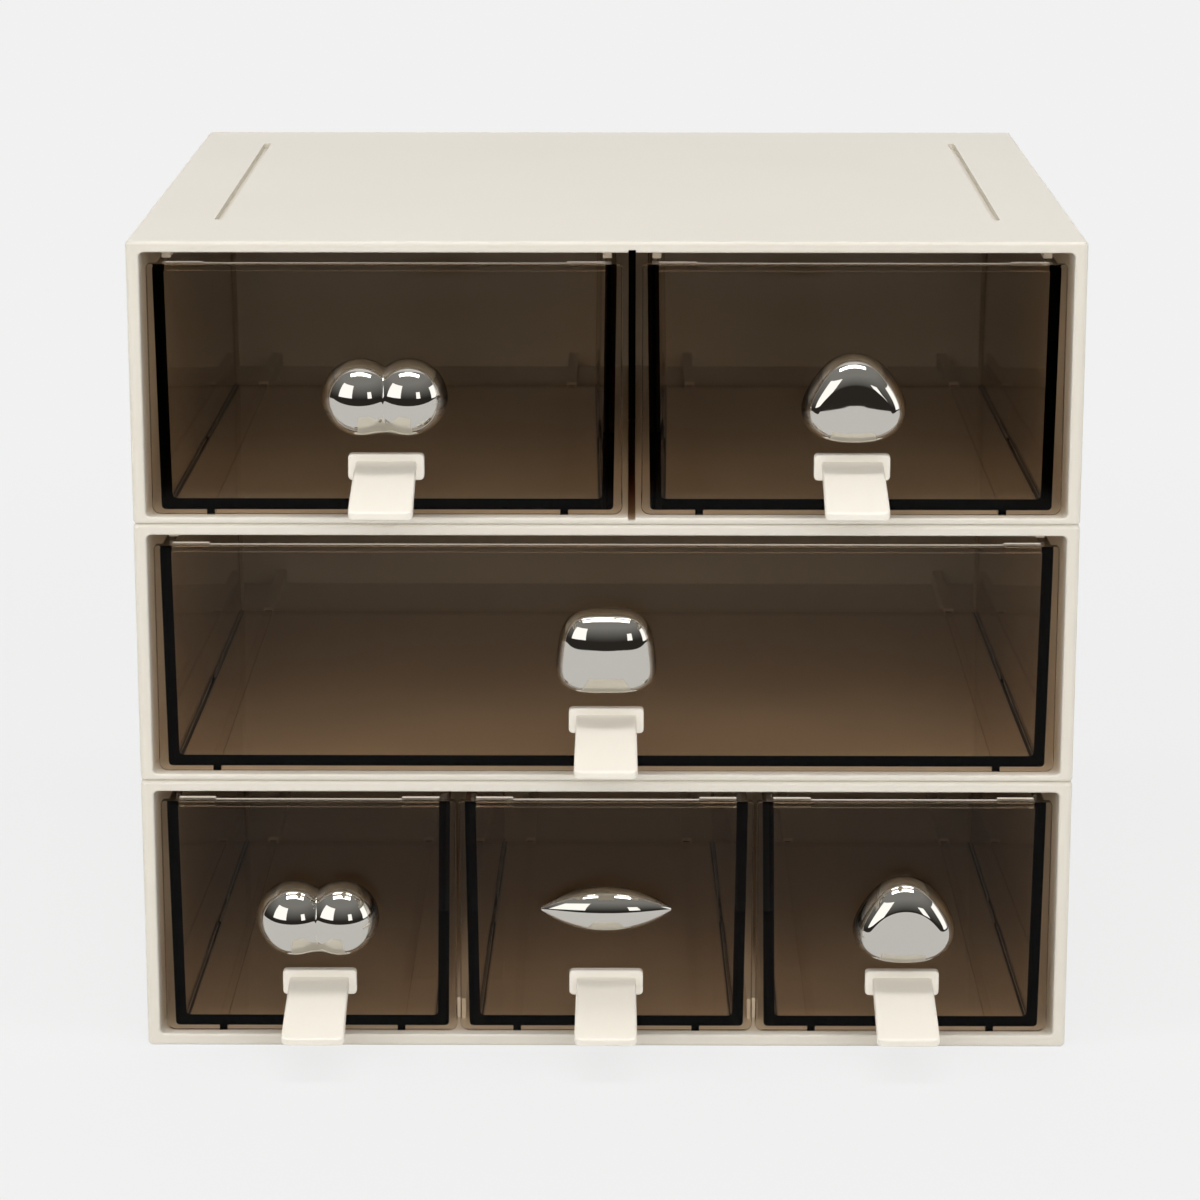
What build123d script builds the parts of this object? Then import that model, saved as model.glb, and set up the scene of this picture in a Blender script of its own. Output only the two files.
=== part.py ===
from build123d import *

import os
from math import copysign, cos, pi, radians, sin
from typing import NamedTuple

# Desk drawer organizer: three stacked cases with two, one and three smoked drawers.
# X runs to the right, Y from the front to the back and Z up from the desk.
# The origin lies on the desk, under the middle of the whole outline. Lengths are in millimetres.

# Case: one moulded shell for each tier, open at the front
CASE_WIDTH = 260.0
CASE_DEPTH = 220.0
CASE_HEIGHT = 78.5
MIDDLE_CASE_HEIGHT = 73.6
SIDE_WALL = 3.6
TOP_WALL = 3.1
BOTTOM_WALL = 2.0
BASE_WALL = 3.5
BACK_WALL = 3.0
CORNER_RADIUS = 1.5
EDGE_ROUND = 1.1
BAY_CORNER_RADIUS = 1.4
RIM_ROUND = 0.6

# Stacking: ribs under the two upper cases stand in slots in the top of the case below
SLOT_WIDTH = 2.2
SLOT_DEPTH = 1.7
SLOT_INSET = 21.5
SLOT_FRONT_SETBACK = 37.4
SLOT_BACK_SETBACK = 27.3
RIB_HEIGHT = 1.4
RIB_CLEARANCE = 0.3

# Fittings moulded inside the case: rear stops, ceiling guides and guides between lanes
STOP_LENGTH = 51.0
STOP_WIDTH = 3.0
STOP_HEIGHT = 4.6
STOP_GAP = 0.3
GUIDE_SETBACK = 14.0
CEILING_GUIDE_WIDTH = 2.4
CEILING_GUIDE_CLEARANCE = 0.6
LANE_GUIDE_WIDTH = 3.0
LANE_GUIDE_HEIGHT = 6.0

# Divider plate of the top tier
DIVIDER_THICKNESS = 1.9
DIVIDER_RECESS = 1.2
DIVIDER_SIDE_GAP = 1.6
DIVIDER_CLEARANCE = 0.12
GROOVE_DEPTH = 0.8

# Drawer front panel
PANEL_THICKNESS = 2.6
PANEL_RECESS = 2.0
PANEL_SIDE_GAP = 1.6
PANEL_FLOOR_GAP = 0.35
PANEL_TOP_GAP = 3.5
PANEL_NEIGHBOUR_GAP = 0.9
PANEL_LOW_RADIUS = 2.5
PANEL_TOP_RADIUS = 1.0
PANEL_EDGE_ROUND = 0.5
TOP_LEFT_PANEL_WIDTH = 129.2

# Drawer tray behind the panel
TRAY_WALL = 3.1
TRAY_BACK_WALL = 2.6
TRAY_FLOOR = 3.1
TRAY_INSET = 1.6
WALL_DROP = 0.8
WALL_LEAN = 0.9
TRAY_TAPER = 2.2
TRAY_CORNER_RADIUS = 1.2
WALL_TOP_ROUND = 0.5
RUNNER_WIDTH = 2.2
RUNNER_HEIGHT = 1.45
RUNNER_CLEARANCE = 0.05
RUNNER_INSET = 16.0
BEAD_HEIGHT = 2.1
BEAD_THICKNESS = 1.0
LUG_LENGTH = 12.0
LUG_THICKNESS = 2.4

# Knobs: the widest section stands this far in front of the panel
KNOB_STAND = 3.8
BUBBLE_RADIUS = 10.6
BUBBLE_SPACING = 13.2
LENS_WIDTH = 36.4
LENS_HEIGHT = 12.8
LENS_TIP_RADIUS = 0.5
TRIANGLE_WIDTH = 28.6
TRIANGLE_HEIGHT = 24.6
TRAPEZOID_WIDTH = 27.8
TRAPEZOID_HEIGHT = 23.6
PEBBLE_DEPTH = 12.8

# Places of the knobs: the room between each kind and the pull tab below it
BUBBLE_GAP = 5.6
LENS_GAP = 12.5
TRIANGLE_GAP = 3.9
TRAPEZOID_GAP = 5.3
BOTTOM_LEFT_PULL_SHIFT = 2.6

# Knob screw
SCREW_RADIUS = 1.75
SCREW_REACH = 6.5
SCREW_HEAD_RADIUS = 3.4
SCREW_HEAD_HEIGHT = 2.0
SCREW_HEAD_ROUND = 0.8
SCREW_HOLE_CLEARANCE = 0.25
SCREW_BORE_CLEARANCE = 0.06
SCREW_END_GAP = 0.8
RECESS_LENGTH = 3.6
RECESS_WIDTH = 0.8
RECESS_DEPTH = 1.1

# Pull tab: a flange on the panel and a tongue that reaches out and droops
TOP_TAB_RISE = 17.5
TAB_RISE = 19.0
TAB_FLANGE_WIDTH = 20.8
TAB_FLANGE_HEIGHT = 7.3
TAB_FLANGE_THICKNESS = 2.3
TAB_FLANGE_RADIUS = 1.2
TAB_EDGE_ROUND = 0.5
TONGUE_WIDTH = 17.4
TONGUE_THICKNESS = 2.6
TONGUE_REACH = 31.0
TONGUE_ROOT_DROP = 2.0
TONGUE_CORNER_RADIUS = 1.8
TONGUE_EDGE_ROUND = 0.6
TONGUE_START_ANGLE = 9.0
TONGUE_END_ANGLE = 21.0
PEG_RADIUS = 1.5
PEG_SPACING = 12.0
PEG_CLEARANCE = 0.15
PEG_HEAD_RADIUS = 2.3
PEG_HEAD_HEIGHT = 1.0

# How far a cutting tool runs past what it cuts
OVERRUN = 1.0

# Pebble sections from the panel to the front: share of the depth and share of the outline
TRIANGLE_SECTION_SHARES = (
    (0.0, 0.84),
    (0.12, 0.95),
    (0.3, 1.0),
    (0.52, 0.985),
    (0.74, 0.92),
    (0.92, 0.79),
    (1.0, 0.66),
)
TRAPEZOID_SECTION_SHARES = (
    (0.0, 0.86),
    (0.12, 0.96),
    (0.3, 1.0),
    (0.5, 0.983),
    (0.7, 0.905),
    (0.88, 0.72),
    (0.97, 0.45),
    (1.0, 0.2),
)
TRIANGLE_BULGE_SHARE = 0.07
TRAPEZOID_POWER_SHARE = 0.6
TRAPEZOID_SPREAD_SHARE = 0.1
OUTLINE_POINTS = 24

# Levels and places worked out from the sizes above
BAY_WIDTH = CASE_WIDTH - 2 * SIDE_WALL
BAY_BACK = CASE_DEPTH - BACK_WALL
PANEL_BACK = PANEL_RECESS + PANEL_THICKNESS
TRAY_BACK = BAY_BACK - STOP_LENGTH - STOP_GAP
PANEL_ROW_WIDTH = BAY_WIDTH - 2 * PANEL_SIDE_GAP
FRONT_Y = -(CASE_DEPTH - TONGUE_REACH + PANEL_RECESS) / 2


class Tier(NamedTuple):
    """One case: its name, the height of its underside above the desk, its height and its floor.

    The levels below are heights above the case's underside.
    """

    name: str
    base: float
    height: float
    floor: float

    def ceiling(self):
        """Ceiling of the bay."""
        return self.height - TOP_WALL

    def panel_low(self):
        """Lower edge of the drawer fronts."""
        return self.floor + PANEL_FLOOR_GAP

    def panel_high(self):
        """Upper edge of the drawer fronts."""
        return self.ceiling() - PANEL_TOP_GAP

    def tray_low(self):
        """Underside of the trays' floors, on top of their runners."""
        return self.floor + RUNNER_HEIGHT

    def tray_floor_top(self):
        """Upper face of the trays' floors."""
        return self.tray_low() + TRAY_FLOOR

    def wall_high(self):
        """Upper edge of the trays' walls."""
        return self.panel_high() - WALL_DROP


BOTTOM_TIER = Tier("bottom", 0, CASE_HEIGHT, BASE_WALL)
MIDDLE_TIER = Tier("middle", CASE_HEIGHT, MIDDLE_CASE_HEIGHT, BOTTOM_WALL)
TOP_TIER = Tier("top", CASE_HEIGHT + MIDDLE_CASE_HEIGHT, CASE_HEIGHT, BOTTOM_WALL)


class Drawer(NamedTuple):
    """One drawer: its name, tier, place across the case, and what its front carries."""

    name: str
    tier: Tier
    centre: float
    width: float
    knob: str
    pull_shift: float
    tab_rise: float


def lay_out_drawers():
    """All six drawers, each row filled from left to right between the case walls."""
    left = -PANEL_ROW_WIDTH / 2
    third = (PANEL_ROW_WIDTH - 2 * PANEL_NEIGHBOUR_GAP) / 3
    lane = third + PANEL_NEIGHBOUR_GAP
    divided = DIVIDER_THICKNESS + 2 * DIVIDER_SIDE_GAP
    top_right = PANEL_ROW_WIDTH - TOP_LEFT_PANEL_WIDTH - divided
    left_centre = left + TOP_LEFT_PANEL_WIDTH / 2
    right_centre = -left - top_right / 2
    shift = BOTTOM_LEFT_PULL_SHIFT
    return [
        Drawer("bottom_left", BOTTOM_TIER, -lane, third, "bubble", shift, TAB_RISE),
        Drawer("bottom_center", BOTTOM_TIER, 0, third, "lens", 0, TAB_RISE),
        Drawer("bottom_right", BOTTOM_TIER, lane, third, "triangle", 0, TAB_RISE),
        Drawer("middle", MIDDLE_TIER, 0, PANEL_ROW_WIDTH, "trapezoid", 0, TAB_RISE),
        Drawer("top_left", TOP_TIER, left_centre, TOP_LEFT_PANEL_WIDTH, "bubble", 0, TOP_TAB_RISE),
        Drawer("top_right", TOP_TIER, right_centre, top_right, "triangle", 0, TOP_TAB_RISE),
    ]


def block(x_low, x_high, y_low, y_high, z_low, z_high):
    """Square block between two opposite corners."""
    middle = Pos((x_low + x_high) / 2, (y_low + y_high) / 2, (z_low + z_high) / 2)
    return middle * Box(x_high - x_low, y_high - y_low, z_high - z_low)


def rod(radius, y_low, y_high):
    """Round rod along Y."""
    return Pos(0, (y_low + y_high) / 2, 0) * Rot(90, 0, 0) * Cylinder(radius, y_high - y_low)


def stacking_strip(side, width, z_low, z_high):
    """Round-ended strip along Y: the body of a stacking rib, or the room of a slot."""
    length = CASE_DEPTH - SLOT_FRONT_SETBACK - SLOT_BACK_SETBACK - SLOT_WIDTH + width
    x = side * (CASE_WIDTH / 2 - SLOT_INSET)
    y = (CASE_DEPTH + SLOT_FRONT_SETBACK - SLOT_BACK_SETBACK) / 2
    outline = Pos(x, y, z_low) * Rot(0, 0, 90) * SlotOverall(length, width)
    return extrude(outline, z_high - z_low)


def case_shell(tier):
    """Rounded box with an open front, stacking slots above and, off the desk, stacking ribs below."""
    shell = block(-CASE_WIDTH / 2, CASE_WIDTH / 2, 0, CASE_DEPTH, 0, tier.height)
    shell = fillet(shell.edges().filter_by(Axis.Z), CORNER_RADIUS)
    shell = fillet(shell.faces().filter_by(Axis.Z).edges(), EDGE_ROUND)
    bay = block(-BAY_WIDTH / 2, BAY_WIDTH / 2, -OVERRUN, BAY_BACK, tier.floor, tier.ceiling())
    shell -= fillet(bay.edges().filter_by(Axis.Y), BAY_CORNER_RADIUS)
    front = shell.faces().sort_by(Axis.Y)[0]
    shell = fillet(front.inner_wires().edges(), RIM_ROUND)
    for side in (-1, 1):
        shell -= stacking_strip(side, SLOT_WIDTH, tier.height - SLOT_DEPTH, tier.height + OVERRUN)
        if tier != BOTTOM_TIER:
            shell += stacking_strip(side, SLOT_WIDTH - 2 * RIB_CLEARANCE, -RIB_HEIGHT, tier.floor / 2)
    return shell


def drawer_fittings(drawer):
    """Rear stops behind a drawer's runners and guides in the ceiling over its side walls."""
    pieces = []
    runner = drawer.width / 2 - RUNNER_INSET
    wall = drawer.width / 2 - TRAY_INSET - (TRAY_WALL + TRAY_TAPER) / 2
    stop_front, stop_back = BAY_BACK - STOP_LENGTH, CASE_DEPTH - BACK_WALL / 2
    stop_low, stop_high = drawer.tier.floor / 2, drawer.tier.floor + STOP_HEIGHT
    guide_low = drawer.tier.wall_high() + CEILING_GUIDE_CLEARANCE
    guide_high = drawer.tier.height - TOP_WALL / 2
    for side in (-1, 1):
        x = drawer.centre + side * runner
        x_low, x_high = x - STOP_WIDTH / 2, x + STOP_WIDTH / 2
        pieces.append(block(x_low, x_high, stop_front, stop_back, stop_low, stop_high))
        x = drawer.centre + side * wall
        x_low, x_high = x - CEILING_GUIDE_WIDTH / 2, x + CEILING_GUIDE_WIDTH / 2
        pieces.append(block(x_low, x_high, GUIDE_SETBACK, TRAY_BACK, guide_low, guide_high))
    return pieces


def lane_guide(tier, x):
    """Low rib on the case floor between two drawers that have no divider."""
    half = LANE_GUIDE_WIDTH / 2
    low, high = tier.floor / 2, tier.floor + LANE_GUIDE_HEIGHT
    return block(x - half, x + half, GUIDE_SETBACK, TRAY_BACK, low, high)


def divider_place(drawers):
    """Middle of the divider plate, between the two drawers of the top tier."""
    left, right = drawers
    return (left.centre + left.width / 2 + right.centre - right.width / 2) / 2


def divider_groove(tier, x):
    """Room cut into the floor and the ceiling for the divider plate."""
    half = DIVIDER_THICKNESS / 2 + DIVIDER_CLEARANCE
    low, high = tier.floor - GROOVE_DEPTH, tier.ceiling() + GROOVE_DEPTH
    return block(x - half, x + half, -OVERRUN, BAY_BACK, low, high)


def make_divider(tier, x):
    """Smoked plate that stands in the floor groove and reaches into the ceiling groove."""
    half = DIVIDER_THICKNESS / 2
    low, high = tier.floor - GROOVE_DEPTH, tier.ceiling() + GROOVE_DEPTH - DIVIDER_CLEARANCE
    return block(x - half, x + half, DIVIDER_RECESS, BAY_BACK - DIVIDER_CLEARANCE, low, high)


def make_case(tier, drawers):
    """One case with the fittings that its own row of drawers needs."""
    case = case_shell(tier)
    for drawer in drawers:
        for piece in drawer_fittings(drawer):
            case += piece
    if len(drawers) == 2:
        case -= divider_groove(tier, divider_place(drawers))
    if len(drawers) == 3:
        for left, right in zip(drawers, drawers[1:]):
            case += lane_guide(tier, (left.centre + right.centre) / 2)
    return case


def front_panel(drawer):
    """Drawer front: larger lower corners and a soft front edge."""
    half, tier = drawer.width / 2, drawer.tier
    panel = block(-half, half, PANEL_RECESS, PANEL_BACK, tier.panel_low(), tier.panel_high())
    panel = fillet(panel.edges().filter_by(Axis.Y).sort_by(Axis.Z)[:2], PANEL_LOW_RADIUS)
    panel = fillet(panel.edges().filter_by(Axis.Y).sort_by(Axis.Z)[-2:], PANEL_TOP_RADIUS)
    return fillet(panel.faces().sort_by(Axis.Y)[0].edges(), PANEL_EDGE_ROUND)


def tray_half_width(drawer, z):
    """Half of the tray's outside width at a height, beside the panel: the walls lean in downwards."""
    low, high = drawer.tier.tray_low(), drawer.tier.wall_high()
    lean_share = (high - z) / (high - low)
    return drawer.width / 2 - TRAY_INSET - WALL_LEAN * lean_share


def tray_wedge(drawer, wall, y_back, z_low, z_high):
    """Block behind the panel with the tray's lean and taper, set in by a wall thickness."""
    taper_share = (y_back - PANEL_BACK) / (TRAY_BACK - PANEL_BACK)
    low, high = tray_half_width(drawer, z_low) - wall, tray_half_width(drawer, z_high) - wall
    sections = []
    for y, draw in ((PANEL_BACK, 0), (y_back, TRAY_TAPER * taper_share)):
        floor = [(draw - low, y, z_low), (low - draw, y, z_low)]
        top = [(high - draw, y, z_high), (draw - high, y, z_high)]
        sections.append(make_face(Polyline(*floor, *top, close=True).edges()))
    wedge = loft(sections, ruled=True)
    floor_edges = wedge.faces().sort_by(Axis.Z)[0].edges().sort_by(Axis.Y)[1:]
    back_edges = wedge.faces().sort_by(Axis.Y)[-1].edges().sort_by(Axis.Z)[1:-1]
    return fillet(floor_edges + back_edges, TRAY_CORNER_RADIUS)


def tray_box(drawer):
    """Floor, side walls and back of a tray, with the upper edges of the walls rounded."""
    tier, inside_back = drawer.tier, TRAY_BACK - TRAY_BACK_WALL
    box = tray_wedge(drawer, 0, TRAY_BACK, tier.tray_low(), tier.wall_high())
    box -= tray_wedge(drawer, TRAY_WALL, inside_back, tier.tray_floor_top(), tier.wall_high() + OVERRUN)
    wall_tops = box.faces().sort_by(Axis.Z)[-1]
    rims = [edge for edge in wall_tops.edges() if edge.center().Y > PANEL_BACK + TRAY_WALL]
    return fillet(rims, WALL_TOP_ROUND)


def make_tray(drawer):
    """Smoked drawer in one moulding: front panel, walls, floor, runners and a stiffening bead."""
    tier = drawer.tier
    tray = tray_box(drawer) + front_panel(drawer)
    inside = tray_half_width(drawer, tier.wall_high()) - TRAY_WALL / 2
    bead_low, bead_high = tier.panel_high() - BEAD_HEIGHT, tier.panel_high()
    root = PANEL_BACK - PANEL_THICKNESS / 2
    tray += block(-inside, inside, root, PANEL_BACK + BEAD_THICKNESS, bead_low, bead_high)
    for side in (-1, 1):
        lug_in, lug_out = sorted((side * (inside - LUG_LENGTH), side * inside))
        tray += block(lug_in, lug_out, root, PANEL_BACK + LUG_THICKNESS, bead_low, bead_high)
        x = side * (drawer.width / 2 - RUNNER_INSET)
        x_low, x_high = x - RUNNER_WIDTH / 2, x + RUNNER_WIDTH / 2
        runner_low, runner_high = tier.floor + RUNNER_CLEARANCE, tier.tray_low() + TRAY_FLOOR / 2
        tray += block(x_low, x_high, root, TRAY_BACK, runner_low, runner_high)
    hole = rod(SCREW_RADIUS + SCREW_HOLE_CLEARANCE, -OVERRUN, PANEL_THICKNESS + OVERRUN)
    tray -= knob_place(drawer) * hole
    hole = rod(PEG_RADIUS + PEG_CLEARANCE, -OVERRUN, PANEL_THICKNESS + OVERRUN)
    for side in (-1, 1):
        tray -= tab_place(drawer) * peg_place(side) * hole
    return tray


def tab_place(drawer):
    """Middle of the pull tab's upper edge on the panel's front, in the drawer's own place."""
    return Pos(drawer.pull_shift, PANEL_RECESS, drawer.tier.panel_low() + drawer.tab_rise)


def peg_place(side):
    """Middle of a tab peg, seen from the tab's upper edge."""
    return Pos(side * PEG_SPACING / 2, 0, -TAB_FLANGE_HEIGHT / 2)


def knob_rise(kind):
    """Height of a knob's middle above the upper edge of the pull tab."""
    rises = {
        "bubble": BUBBLE_GAP + BUBBLE_RADIUS,
        "lens": LENS_GAP + LENS_HEIGHT / 2,
        "triangle": TRIANGLE_GAP + TRIANGLE_HEIGHT / 2,
        "trapezoid": TRAPEZOID_GAP + TRAPEZOID_HEIGHT / 2,
    }
    return rises[kind]


def knob_place(drawer):
    """Middle of the knob on the panel's front, in the drawer's own place."""
    return Pos(0, 0, knob_rise(drawer.knob)) * tab_place(drawer)


def cut_at_panel(knob, size):
    """What of a knob lies in front of the panel."""
    return knob - block(-size, size, 0, size, -size, size)


def bubble_knob():
    """Two balls side by side, run together at a waist."""
    ball = Sphere(BUBBLE_RADIUS)
    left = Pos(-BUBBLE_SPACING / 2, -KNOB_STAND, 0) * ball
    right = Pos(BUBBLE_SPACING / 2, -KNOB_STAND, 0) * ball
    return cut_at_panel(left + right, BUBBLE_SPACING + BUBBLE_RADIUS)


def lens_knob():
    """Spindle pointed at both ends: an arc turned about its own chord."""
    half = LENS_WIDTH / 2
    arc = ThreePointArc((-half, LENS_TIP_RADIUS), (0, LENS_HEIGHT / 2), (half, LENS_TIP_RADIUS))
    foot = Polyline((half, LENS_TIP_RADIUS), (half, 0), (-half, 0), (-half, LENS_TIP_RADIUS))
    spindle = revolve(make_face(arc.edges() + foot.edges()), Axis.X)
    return cut_at_panel(Pos(0, -KNOB_STAND, 0) * spindle, LENS_WIDTH)


def triangle_outline(angle):
    """Unit outline of a rounded triangle, apex up: a circle with three low waves."""
    reach = 1 - TRIANGLE_BULGE_SHARE * sin(3 * angle)
    return reach * cos(angle), reach * sin(angle)


def trapezoid_outline(angle):
    """Unit outline of a rounded square that spreads towards its foot."""
    across = copysign(abs(cos(angle)) ** TRAPEZOID_POWER_SHARE, cos(angle))
    up = copysign(abs(sin(angle)) ** TRAPEZOID_POWER_SHARE, sin(angle))
    return across * (1 - TRAPEZOID_SPREAD_SHARE * up), up


def pebble_knob(outline, width, height, section_shares):
    """Pebble: an outline swollen from the panel to its widest section and drawn in to a front face."""
    angles = [2 * pi * index / OUTLINE_POINTS for index in range(OUTLINE_POINTS)]
    unit = [outline(angle) for angle in angles]
    half_width = max(x for x, z in unit)
    low, high = min(z for x, z in unit), max(z for x, z in unit)
    middle, half_height = (high + low) / 2, (high - low) / 2
    sections = []
    for depth_share, outline_share in section_shares:
        across = outline_share * width / 2 / half_width
        up = outline_share * height / 2 / half_height
        points = [(x * across, -depth_share * PEBBLE_DEPTH, (z - middle) * up) for x, z in unit]
        sections.append(make_face(Spline(*points, periodic=True).edges()))
    return loft(sections)


def make_knob(kind):
    """Knob of a kind on the panel's front, with a blind hole for its screw."""
    if kind == "bubble":
        knob = bubble_knob()
    elif kind == "lens":
        knob = lens_knob()
    elif kind == "triangle":
        size = (TRIANGLE_WIDTH, TRIANGLE_HEIGHT)
        knob = pebble_knob(triangle_outline, *size, TRIANGLE_SECTION_SHARES)
    else:
        size = (TRAPEZOID_WIDTH, TRAPEZOID_HEIGHT)
        knob = pebble_knob(trapezoid_outline, *size, TRAPEZOID_SECTION_SHARES)
    return knob - rod(SCREW_RADIUS + SCREW_BORE_CLEARANCE, -SCREW_REACH - SCREW_END_GAP, OVERRUN)


def make_screw():
    """Pan-head screw put in from inside the drawer, with a cross recess."""
    head_back = PANEL_THICKNESS + SCREW_HEAD_HEIGHT
    head = rod(SCREW_HEAD_RADIUS, PANEL_THICKNESS, head_back)
    head = fillet(head.edges().sort_by(Axis.Y)[-1], SCREW_HEAD_ROUND)
    screw = head + rod(SCREW_RADIUS, -SCREW_REACH, PANEL_THICKNESS + SCREW_HEAD_HEIGHT / 2)
    half_length, half_width = RECESS_LENGTH / 2, RECESS_WIDTH / 2
    for x, z in ((half_length, half_width), (half_width, half_length)):
        screw -= block(-x, x, head_back - RECESS_DEPTH, head_back + OVERRUN, -z, z)
    return screw


def tongue():
    """Drooping tongue of the pull tab: a thick strip bent on a wide arc, rounded at its tip."""
    start, end = radians(TONGUE_START_ANGLE), radians(TONGUE_END_ANGLE)
    radius = (TONGUE_REACH - TAB_FLANGE_THICKNESS) / (sin(end) - sin(start))
    y_centre = radius * sin(start) - TAB_FLANGE_THICKNESS
    z_centre = -TONGUE_ROOT_DROP - radius * cos(start)
    half = TONGUE_WIDTH / 2

    def along(reach, angle):
        return (-half, y_centre - reach * sin(angle), z_centre + reach * cos(angle))

    inner = radius - TONGUE_THICKNESS
    halfway = (start + end) / 2
    upper = ThreePointArc(along(radius, start), along(radius, halfway), along(radius, end))
    lower = ThreePointArc(along(inner, start), along(inner, halfway), along(inner, end))
    root = Line(along(inner, start), along(radius, start))
    tip = Line(along(radius, end), along(inner, end))
    profile = make_face(upper.edges() + tip.edges() + lower.edges() + root.edges())
    strip = extrude(profile, TONGUE_WIDTH, dir=(1, 0, 0))
    tip_edges = strip.faces().sort_by(Axis.Y)[0].edges()
    tip_corners = [edge for edge in tip_edges if abs(edge.tangent_at(0).X) < 1 / 2]
    strip = fillet(tip_corners, TONGUE_CORNER_RADIUS)
    broad_faces = strip.faces().sort_by(SortBy.AREA)[-2:]
    root_end = -TAB_FLANGE_THICKNESS - TONGUE_THICKNESS
    rims = [edge for edge in broad_faces.edges() if edge.center().Y < root_end]
    return fillet(rims, TONGUE_EDGE_ROUND)


def make_tab():
    """Pull tab: flange, tongue and two pegs staked over behind the panel."""
    half = TAB_FLANGE_WIDTH / 2
    flange = block(-half, half, -TAB_FLANGE_THICKNESS, 0, -TAB_FLANGE_HEIGHT, 0)
    flange = fillet(flange.edges().filter_by(Axis.Y), TAB_FLANGE_RADIUS)
    flange = fillet(flange.faces().sort_by(Axis.Y)[0].edges(), TAB_EDGE_ROUND)
    tab = flange + tongue()
    for side in (-1, 1):
        tab += peg_place(side) * rod(PEG_RADIUS, -TAB_FLANGE_THICKNESS / 2, PANEL_THICKNESS)
        tab += peg_place(side) * rod(PEG_HEAD_RADIUS, PANEL_THICKNESS, PANEL_THICKNESS + PEG_HEAD_HEIGHT)
    return tab


def main():
    """Make every piece at its place in the closed, stacked organizer and write it."""
    drawers = lay_out_drawers()
    pieces = {}
    for tier in (BOTTOM_TIER, MIDDLE_TIER, TOP_TIER):
        row = [drawer for drawer in drawers if drawer.tier == tier]
        place = Pos(0, FRONT_Y, tier.base)
        pieces["case_" + tier.name] = place * make_case(tier, row)
        if tier == TOP_TIER:
            pieces["top_divider"] = place * make_divider(tier, divider_place(row))
    for drawer in drawers:
        place = Pos(drawer.centre, FRONT_Y, drawer.tier.base)
        pieces["drawer_" + drawer.name] = place * make_tray(drawer)
        pieces["knob_" + drawer.name] = place * knob_place(drawer) * make_knob(drawer.knob)
        pieces["knob_screw_" + drawer.name] = place * knob_place(drawer) * make_screw()
        pieces["pull_tab_" + drawer.name] = place * tab_place(drawer) * make_tab()
    os.makedirs("parts", exist_ok=True)
    for name, piece in pieces.items():
        export_step(piece, "parts/" + name + ".step")


main()
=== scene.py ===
"""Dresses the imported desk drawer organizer: cream cases, smoked drawers, chrome knobs, cream tabs.

Lengths in the code are millimetres unless a name ends in _m. Meshes are written in metres, in the
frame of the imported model: X to the right, Y from the drawer fronts to the back, Z up from the desk.
"""

import logging
import math
from dataclasses import dataclass
from enum import Enum
from typing import Any, ClassVar

import bpy
import numpy as np
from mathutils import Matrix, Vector

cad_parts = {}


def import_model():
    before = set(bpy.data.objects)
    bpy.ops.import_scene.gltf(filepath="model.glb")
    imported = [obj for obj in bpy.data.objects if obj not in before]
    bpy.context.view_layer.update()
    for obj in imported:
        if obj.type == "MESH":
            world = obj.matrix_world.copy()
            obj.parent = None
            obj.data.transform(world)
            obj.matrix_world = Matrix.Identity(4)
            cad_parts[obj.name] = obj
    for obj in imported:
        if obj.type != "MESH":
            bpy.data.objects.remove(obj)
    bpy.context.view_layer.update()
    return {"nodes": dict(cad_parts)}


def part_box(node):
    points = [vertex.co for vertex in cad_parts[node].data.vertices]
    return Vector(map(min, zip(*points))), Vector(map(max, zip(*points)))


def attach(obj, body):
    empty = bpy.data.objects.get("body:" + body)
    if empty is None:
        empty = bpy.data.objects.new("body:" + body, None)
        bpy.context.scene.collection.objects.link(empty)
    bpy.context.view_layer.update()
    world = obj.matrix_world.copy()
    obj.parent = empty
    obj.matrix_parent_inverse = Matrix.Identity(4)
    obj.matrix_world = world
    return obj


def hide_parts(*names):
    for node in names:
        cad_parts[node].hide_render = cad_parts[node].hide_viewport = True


LOG = logging.getLogger("organizer")
MM = 0.001
METRE = 1000.0
PHOTO_SIDE_PX = 1200
FULL_TURN = 2 * np.pi
QUARTER_TURN = np.pi / 2
WHITE = (1.0, 1.0, 1.0, 1.0)

# sockets of a colour mix, by number because the node has others of the same names
MIX_SHARE, MIX_FIRST, MIX_SECOND, MIX_RESULT = 0, 6, 7, 2

# edges that bend by more degrees than this are shaded sharp
SHARP_ANGLE = 40
# points on each round corner of an outline
CORNER_POINTS = 8
# the outline's extra points stand off its corners by its shorter side divided by this
HOLD_PARTS = 40


class KnobShape(Enum):
    """The four knob castings."""

    BUBBLE = "bubble"
    LENS = "lens"
    TRIANGLE = "triangle"
    TRAPEZOID = "trapezoid"


class SeenBy(Enum):
    """Which rays see a stage card or a lamp."""

    ALL = "all"
    REFLECTIONS = "reflections"
    MATT = "matt"


DRAWER_KNOBS = {
    "bottom_left": KnobShape.BUBBLE,
    "bottom_center": KnobShape.LENS,
    "bottom_right": KnobShape.TRIANGLE,
    "middle": KnobShape.TRAPEZOID,
    "top_left": KnobShape.BUBBLE,
    "top_right": KnobShape.TRIANGLE,
}


def linear(colour: str) -> tuple[float, float, float, float]:
    """Turns an sRGB hex colour to linear light.

    A channel c becomes ((c + 0.055) / 1.055) ** 2.4, or c / 12.92 near black.

    Args:
        colour: hex value such as "#E5DCCE".

    Returns:
        Red, green, blue and an alpha of 1.
    """
    channels = np.array([int(colour[place:place + 2], 16) for place in (1, 3, 5)]) / 255
    bright = ((channels + 0.055) / 1.055) ** 2.4
    return (*np.where(channels <= 0.04045, channels / 12.92, bright).tolist(), 1.0)


def pattern_scale(size: float) -> float:
    """Gives the texture scale, per metre, that puts features about `size` millimetres apart."""
    return METRE / size


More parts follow.
